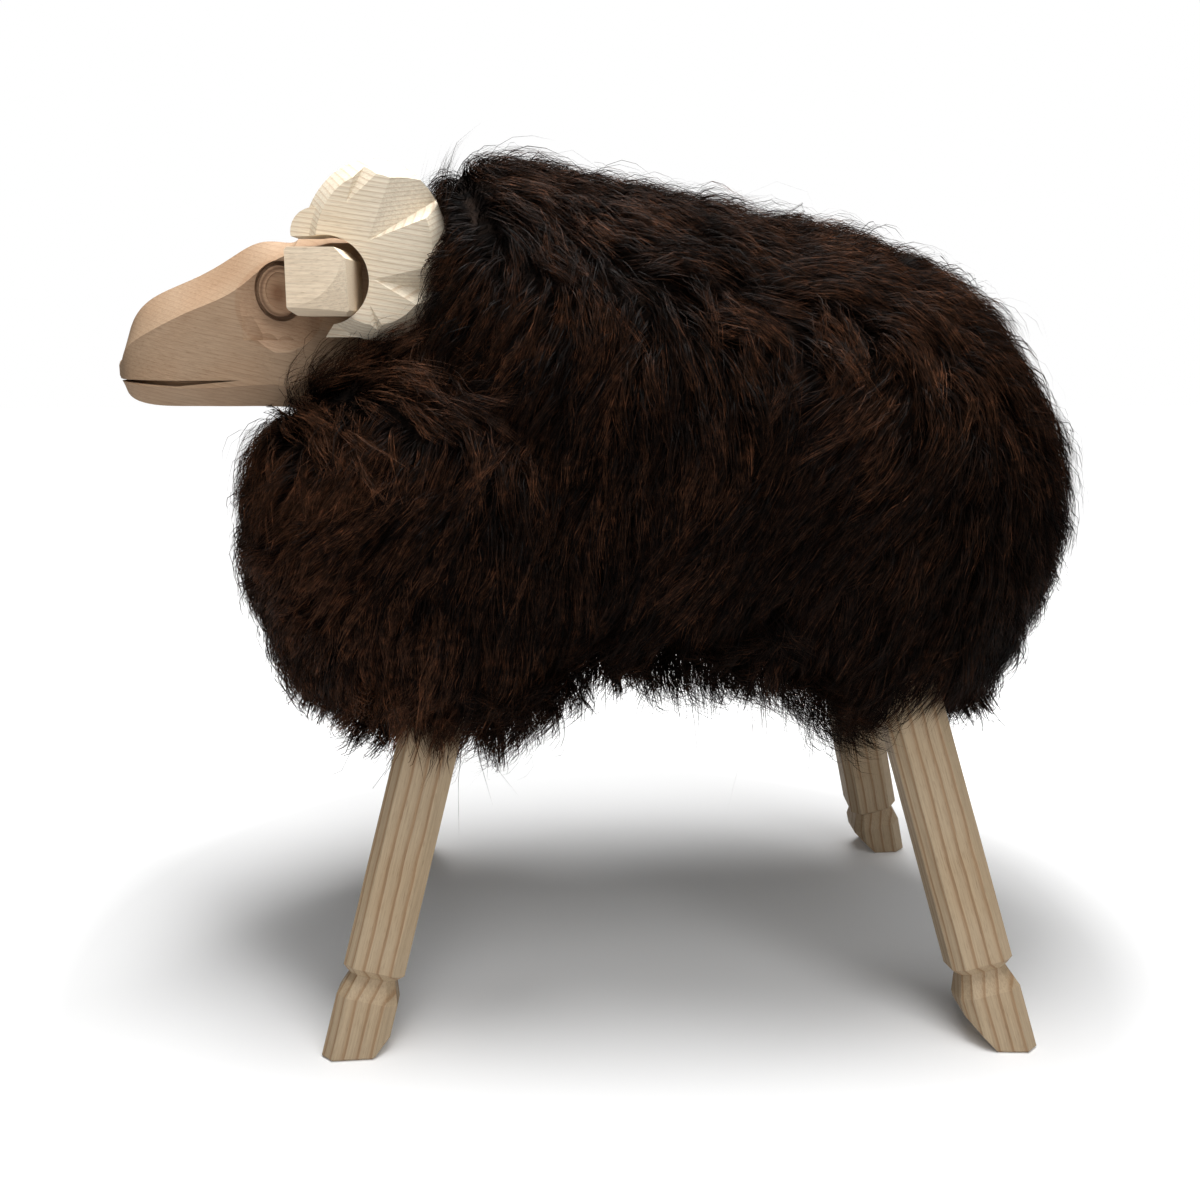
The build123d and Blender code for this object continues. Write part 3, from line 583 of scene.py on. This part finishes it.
def tangent(directions, normals):
    """Directions laid flat on the surface."""
    flat = directions - normals * np.sum(directions * normals, axis=-1, keepdims=True)
    return unit(flat)


def tree_of(*names):
    """Search tree over the triangles of CAD nodes."""
    points, faces = [], []
    for name in names:
        data = nodes[name].data
        start = len(points)
        points += [v.co.copy() for v in data.vertices]
        faces += [tuple(start + i for i in p.vertices) for p in data.polygons]
    return BVHTree.FromPolygons(points, faces)


def wool_roots(skin, count, rng):
    """Random points on the outside of the hide, with their normals, clear of the wood and the opening."""
    mesh = skin.data
    mesh.calc_loop_triangles()
    corners = np.array([t.vertices[:] for t in mesh.loop_triangles])
    points = np.zeros(len(mesh.vertices) * 3)
    mesh.vertices.foreach_get("co", points)
    points = points.reshape(-1, 3)
    normals = np.zeros(len(mesh.vertices) * 3)
    mesh.vertices.foreach_get("normal", normals)
    normals = normals.reshape(-1, 3)
    legs = [n for n in nodes if n.startswith("leg_") and n != "leg_wedges"]
    inside = tree_of("padding", "head", "horn_left", "horn_right", "neck_post", *legs)
    low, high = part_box("belly_cloth")
    keep = []
    for index, (a, b, c) in enumerate(corners):
        centre = Vector(points[a] + points[b] + points[c]) / 3
        normal = Vector(normals[a] + normals[b] + normals[c]).normalized()
        if inside.ray_cast(centre, normal, bare_below_solid)[0] is not None:
            continue
        along_opening = low.x - opening_edge < centre.x < high.x + opening_edge
        in_opening = along_opening and abs(centre.y) < high.y + opening_edge
        if in_opening and centre.z < high.z + opening_depth and normal.z > -0.6:
            continue
        keep.append(index)
    corners = corners[keep]
    first, second, third = points[corners[:, 0]], points[corners[:, 1]], points[corners[:, 2]]
    area = np.linalg.norm(np.cross(second - first, third - first), axis=1)
    facing = unit(normals[corners].sum(axis=1))
    area *= 1.0 - 0.35 * smooth(-facing[:, 2], 0.6, 0.9)
    chosen = rng.choice(len(corners), size=count, p=area / area.sum())
    weights = rng.dirichlet((1, 1, 1), size=count)[:, :, None]
    roots = (points[corners[chosen]] * weights).sum(axis=1)
    return roots, unit((normals[corners[chosen]] * weights).sum(axis=1))


def combed(points, normals):
    """Way in which the wool lies: back on the spine, down on the sides, forward at the neck, out below."""
    spine = smooth(normals[:, 2], 0.30, 0.85)[:, None]
    rump = smooth(points[:, 0], 0.16, 0.28)[:, None]
    down = np.array([-0.42, 0.0, -1.0]) * (1 - rump) + np.array([0.30, 0.0, -1.0]) * rump
    back = np.array([1.0, 0.0, -0.25]) + np.outer(points[:, 1], [0.0, 2.5, 0.0])
    lie = back * spine + down * (1 - spine)
    neck = smooth(-points[:, 0], 0.045, 0.085) * smooth(points[:, 2], 0.41, 0.45)
    neck = (neck * smooth(-normals[:, 0], 0.05, 0.55))[:, None]
    lie = lie * (1 - neck) + np.array([-1.0, 0.0, -0.25]) * neck
    under = smooth(-normals[:, 2], 0.35, 0.8)[:, None]
    outward = np.stack([points[:, 0] * 1.5, points[:, 1] * 6.0, np.full(len(points), -0.4)], axis=1)
    return tangent(lie * (1 - under) + outward * under, normals)


def swirl(points, scale, seed):
    """Smooth random value at each point, from -1 to 1."""
    shift = Vector((seed, seed * 2.3, -seed * 1.7))
    return np.array([noise.noise(Vector(p) * scale + shift) for p in points])


def turned(directions, normals, angles):
    """Directions turned about their normals."""
    across = np.cross(normals, directions)
    return directions * np.cos(angles)[:, None] + across * np.sin(angles)[:, None]


def strand_template():
    """Flat tapering strand, one unit long: for each vertex its side and its place along, then the faces."""
    shape = bmesh.new()
    bmesh.ops.create_grid(shape, x_segments=1, y_segments=strand_segments, size=1)
    tip = [v for v in shape.verts if v.co.y > 0.999]
    bmesh.ops.pointmerge(shape, verts=tip, merge_co=(0, 1, 0))
    shape.verts.index_update()
    sides = np.array([v.co.x for v in shape.verts])
    along = np.array([(v.co.y + 1) / 2 for v in shape.verts])
    faces = [[v.index for v in f.verts] for f in shape.faces]
    shape.free()
    return sides, along, faces


def wool_locks(skin):
    """Root, normal and lock of every strand, and each lock's centre, normal and lie."""
    rng = np.random.default_rng(wool_seed)
    roots, normals = wool_roots(skin, strand_count, rng)
    centre_index = rng.choice(strand_count, size=lock_count, replace=False)
    centres, centre_normals = roots[centre_index], normals[centre_index]
    lie = combed(centres, centre_normals)
    angle = 0.75 * swirl(centres, 9.0, 3.1) + 0.55 * swirl(centres, 28.0, 7.7)
    angle += 0.12 * rng.normal(size=lock_count)
    lie = turned(lie, centre_normals, angle)
    tree = KDTree(lock_count)
    for index, centre in enumerate(centres):
        tree.insert(centre, index)
    tree.balance()
    blur = roots + rng.normal(scale=lock_blur, size=roots.shape)
    lock = np.array([tree.find(point)[1] for point in blur])
    return rng, roots, normals, centres, centre_normals, lie, lock


def fall_away(skin, points, ways, reach):
    """How far the hide falls away below the tangent at each point, one reach along."""
    shape = bmesh.new()
    shape.from_mesh(skin.data)
    tree = BVHTree.FromBMesh(shape)
    shape.free()
    gaps = []
    for tip in points + ways * reach[:, None]:
        near, normal, _, _ = tree.find_nearest(Vector(tip))
        gaps.append((Vector(tip) - near).dot(normal))
    return np.clip(np.array(gaps), 0.0, deepest_fall)


def lock_shapes(skin, centres, normals, lie, rng):
    """Reach, lift and sink of every lock, and how far it hangs below the body."""
    under = smooth(-normals[:, 2], 0.35, 0.8)
    spine = smooth(normals[:, 2], 0.45, 0.9)
    hang = smooth(-normals[:, 2], 0.25, 0.75)
    reach = lock_reach - reach_less_on_spine * spine - reach_less_under * under
    reach = reach * (1 + reach_spread * rng.normal(size=lock_count).clip(-2, 2))
    lift = lock_lift + lift_swirl * swirl(centres, 22.0, 1.3)
    lift += lift_spread * rng.normal(size=lock_count).clip(-2, 2)
    ends = smooth(np.abs(normals[:, 0]), 0.35, 0.85) * smooth(centres[:, 2], 0.22, 0.30)
    lift = lift * (1 + lift_on_spine * spine + lift_hanging * hang + lift_at_ends * ends)
    sink = fall_away(skin, centres, lie, reach) * (1 - hang)
    return reach, lift, sink, hang


def wool_paths(skin, along):
    """Points along every strand, with each strand's side vector, half width, tone and lock."""
    rng, roots, normals, centres, centre_normals, lie, lock = wool_locks(skin)
    count = len(roots)
    out = unit(normals + 0.6 * centre_normals[lock])
    way = tangent(lie[lock], out)
    across = np.cross(out, way)
    reach, lift, sink, hang = lock_shapes(skin, centres, centre_normals, lie, rng)
    wave = rng.uniform(*wave_height, size=lock_count)
    crimp = rng.uniform(*crimp_height, size=lock_count)
    crimp_turn = rng.uniform(0, 2 * math.pi, size=lock_count)
    wave_turn = rng.uniform(0, 2 * math.pi, size=lock_count)
    clump = rng.uniform(*clump_share, size=lock_count)
    own = 1 + 0.22 * rng.normal(size=count).clip(-2.2, 2.2)
    loose = rng.random(count) < loose_share
    own = np.where(loose, own * 1.25, own)
    own_lift = 1 + 0.20 * rng.normal(size=count).clip(-2, 2)
    own_lift = np.where(loose, own_lift * 1.35, own_lift)
    own_reach = (reach[lock] * own)[:, None]
    own_rise = (lift[lock] * own_lift)[:, None]
    s = along[None, :]
    forward = own_reach * (0.45 * s + 0.55 * s**2)
    rise = own_rise * (1 - (1 - s) ** 2.4) - 0.25 * own_rise * s**3
    rise -= sink[lock][:, None] * (forward / reach[lock][:, None]) ** 2
    wave_angle = 2 * math.pi * wave_turns * s + wave_turn[lock][:, None]
    crimp_angle = 2 * math.pi * crimp_turns * s + crimp_turn[lock][:, None]
    sideways = wave[lock][:, None] * np.sin(wave_angle) * s
    sideways += crimp[lock][:, None] * np.sin(crimp_angle) * (0.3 + 0.7 * s)
    frizz = rng.normal(scale=frizz_size, size=(count, 3))[:, None, :] * s[:, :, None]
    gather = (clump[lock][:, None] * (1 - loose[:, None] * 0.8) * s**1.3)[:, :, None]
    to_centre = (centres[lock] - roots)[:, None, :]
    paths = (
        roots[:, None, :]
        + out[:, None, :] * rise[:, :, None]
        + way[:, None, :] * forward[:, :, None]
        + across[:, None, :] * sideways[:, :, None]
        + to_centre * gather
        + frizz
    )
    paths[:, :, 2] -= (droop * hang[lock])[:, None] * s**1.5
    roll = rng.normal(scale=0.55, size=count)[:, None]
    side = unit(across * np.cos(roll) + out * np.sin(roll))
    width = strand_width / 2 * rng.uniform(0.65, 1.25, size=count)
    width = np.where(loose, width * 0.5, width)
    # Each strand's tone carries its lock's painted light and shade.
    tone = lock_tone_and_painted_light(centres, centre_normals, rng)[lock] + 0.10 * rng.normal(size=count)
    return paths, side, width, np.clip(tone, 0, 1), lock, centres, centre_normals


def lock_tone_and_painted_light(centres, normals, rng):
    """Share of brown in each lock, random from lock to lock, with painted light and shade: browner on the back
    where it faces up, darker on the flank where it faces the side or down, browner low on the shoulder and
    darker on the top of the neck.
    """
    tone = 0.30 + 0.32 * swirl(centres, 30.0, 5.9) + 0.22 * swirl(centres, 9.0, 2.2)
    tone += 0.16 * rng.normal(size=len(centres))
    # Painted light: browner on the back of the rear half, where the wool faces up.
    tone += 0.12 * smooth(centres[:, 0], 0.05, 0.24) * smooth(normals[:, 2], 0.5, 0.9)
    tone += 0.22 * smooth(-centres[:, 0], 0.02, 0.14) * smooth(-centres[:, 2], -0.42, -0.34)
    # Painted shade: darker from the middle back, on the flank and the rump's sides, where the wool faces the
    # side or down.
    tone -= 0.30 * smooth(centres[:, 0], -0.10, 0.02) * smooth(-normals[:, 2], -0.60, -0.10)
    tone -= 0.30 * smooth(-centres[:, 0], 0.02, 0.12) * smooth(centres[:, 2], 0.42, 0.50)
    return np.clip(tone, 0.02, 1.0)


def clear_of_legs(points):
    """Moves strand points out of the four legs, to the nearest side."""
    for front in (True, False):
        for left in (True, False):
            place, turn = leg_turn(front, left)
            axes = np.array(Euler(turn).to_matrix())
            local = (points - np.array(place)) @ axes
            inside = (np.abs(local[..., 1]) < lath_clear) & (np.abs(local[..., 2]) < lath_clear)
            gap = lath_clear - np.abs(local[..., 1:])
            to_side = gap[..., 0] < gap[..., 1]
            for axis, chosen in ((1, inside & to_side), (2, inside & ~to_side)):
                column = local[..., axis]
                column[chosen] = np.copysign(lath_clear, column[chosen])
            points = local @ axes.T + np.array(place)
    return points


def clear_of_horns(points):
    """Moves strand points out of the side outline of the horns, to its rim, except low behind them."""
    low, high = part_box("horn_left")
    middle = np.array([(low.x + high.x) / 2, (low.z + high.z) / 2])
    half = np.array([(high.x - low.x) / 2, (high.z - low.z) / 2]) + horn_clear
    beside = np.abs(points[..., 1]) > horn_beside_head
    flat = points[..., [0, 2]] - middle
    share = np.linalg.norm(flat / half, axis=-1)
    above = flat[..., 1] > horn_slope * flat[..., 0] - horn_drop
    inside = beside & (share < 1) & above & (flat[..., 1] > horn_lowest)
    flat[inside] /= np.maximum(share[inside], horn_least_share)[:, None]
    points = points.copy()
    points[..., 0] = flat[..., 0] + middle[0]
    points[..., 2] = flat[..., 1] + middle[1]
    return points


def wool_regions(centres, normals):
    """Name of the piece that each lock belongs to."""
    names = []
    for (x, y, z), normal in zip(centres, normals):
        side = "left" if y < 0 else "right"
        if x < chest_end:
            names.append("wool_chest_" + side)
        elif x > rump_start:
            names.append("wool_rump_" + side)
        elif normal[2] < -0.45:
            names.append("wool_belly")
        elif normal[2] > 0.60:
            names.append("wool_withers" if x < withers_end else "wool_back")
        else:
            names.append(("wool_shoulder_" if x < shoulder_end else "wool_flank_") + side)
    return np.array(names)


def strands_mesh(name, paths, side, width, tone, template, material):
    """One mesh of strands, each a copy of the template bent along its path."""
    sides, along, faces = template
    taper = np.where(np.abs(sides) > 0, 1 - strand_taper * along**taper_power, 0)
    points = paths + side[:, None, :] * (sides * taper)[None, :, None] * width[:, None, None]
    count, per = len(points), len(sides)
    mesh = bpy.data.meshes.new(name)
    mesh.vertices.add(count * per)
    mesh.vertices.foreach_set("co", points.astype(np.float32).ravel())
    corners = np.concatenate([np.array(f) for f in faces])
    sizes = np.array([len(f) for f in faces])
    loops = (corners[None, :] + per * np.arange(count)[:, None]).ravel()
    mesh.loops.add(len(loops))
    mesh.loops.foreach_set("vertex_index", loops.astype(np.int32))
    starts = np.concatenate([[0], np.cumsum(sizes)[:-1]])
    mesh.polygons.add(count * len(faces))
    loop_starts = starts[None, :] + sizes.sum() * np.arange(count)[:, None]
    mesh.polygons.foreach_set("loop_start", loop_starts.ravel())
    mesh.polygons.foreach_set("use_smooth", np.ones(count * len(faces), bool))
    mesh.update(calc_edges=True)
    layer = mesh.uv_layers.new(name="OFBake")
    band = np.floor(tone * (tone_bands - 1)) / tone_bands
    across = band[:, None] + (0.1 + 0.8 * (sides[corners][None, :] + 1) / 2) / tone_bands
    up = np.broadcast_to(along[corners][None, :] * 0.98 + 0.01, across.shape)
    layer.data.foreach_set("uv", np.stack([across, up], axis=2).astype(np.float32).ravel())
    mesh.materials.append(material)
    made = linked(name, mesh)
    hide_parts("fleece")
    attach(made, "root")
    return made


def wool(skin):
    """All the long wool, in pieces by region, pressed in where it would stand too far out."""
    template = strand_template()
    paths, side, width, tone, lock, centres, normals = wool_paths(skin, template[1])
    paths = clear_of_horns(clear_of_legs(paths))
    for axis, limit in ((0, wool_rear), (2, wool_top)):
        paths[:, :, axis] -= past_limit_share * np.maximum(paths[:, :, axis] - limit, 0)
    regions = wool_regions(centres, normals)[lock]
    material = wool_material()
    for name in sorted(set(regions)):
        mine = np.where(regions == name)[0]
        mine = mine[np.argsort(centres[lock[mine], 0], kind="stable")]
        parts = np.array_split(mine, math.ceil(len(mine) / piece_limit))
        for index, part in enumerate(parts):
            label = name if len(parts) == 1 else f"{name}_{index + 1}"
            strands_mesh(label, paths[part], side[part], width[part], tone[part], template, material)


def lay_floor():
    """Pale floor that keeps the shadow and turns white for the camera farther out."""
    shape = bmesh.new()
    bmesh.ops.create_grid(shape, x_segments=1, y_segments=1, size=floor_half)
    mesh = bpy.data.meshes.new("floor")
    shape.to_mesh(mesh)
    shape.free()
    material, tree, shader = blank("floor_paper", 0.9, 0.0)
    shader.inputs["Base Color"].default_value = (floor_grey, floor_grey, floor_grey, 1)
    rays = node(tree, "LightPath")
    point = node(tree, "TexCoord").outputs["Object"]
    away = node(tree, "VectorMath", {0: point}, operation="LENGTH").outputs["Value"]
    stretch = {"From Min": white_start, "From Max": white_full, "To Min": white_least, "To Max": 1.0}
    glow = node(tree, "MapRange", {"Value": away, **stretch})
    seen = node(tree, "Math", {0: rays.outputs["Is Camera Ray"], 1: glow.outputs[0]}, operation="MULTIPLY")
    tree.links.new(seen.outputs[0], shader.inputs["Emission Strength"])
    shader.inputs["Emission Color"].default_value = (1, 1, 1, 1)
    mesh.materials.append(material)
    floor = linked("floor", mesh)


def surround():
    """White to the camera, and a faint light on the object."""
    world = bpy.data.worlds.new("surroundings")
    bpy.context.scene.world = world
    world.use_nodes = True
    tree = world.node_tree
    rays = node(tree, "LightPath")
    share = node(tree, "Mix", {0: rays.outputs["Is Camera Ray"], 2: surroundings_light, 3: 1.0})
    background = tree.nodes["Background"]
    background.inputs["Color"].default_value = (1, 1, 1, 1)
    tree.links.new(share.outputs[0], background.inputs["Strength"])


def place_camera():
    """Camera at the photograph's place and angle."""
    view = bpy.data.cameras.new("camera")
    view.lens = camera_lens
    view.sensor_width = camera_sensor
    view.clip_start = camera_near
    camera = linked("camera", view)
    level = math.cos(camera_dip)
    forward = Vector((math.sin(camera_turn) * level, math.cos(camera_turn) * level, -math.sin(camera_dip)))
    camera.location = camera_place
    camera.rotation_euler = forward.to_track_quat("-Z", "Y").to_euler()
    bpy.context.scene.camera = camera


def stage():
    """Floor, surroundings, lamps, camera and plain colours."""
    lay_floor()
    surround()
    for settings in lamps:
        lamp(*settings)
    place_camera()
    bpy.context.scene.view_settings.view_transform = "Standard"


def lamp(name, place, target, size, power):
    """Square soft lamp that looks at a point."""
    data = bpy.data.lights.new(name, "AREA")
    data.size = size
    data.energy = power
    made = linked(name, data)
    made.location = place
    made.rotation_euler = (Vector(target) - Vector(place)).to_track_quat("-Z", "Y").to_euler()


dress_wood()
hide = hide_piece()
foam_piece()
lining_piece()
wool(hide)
stage()
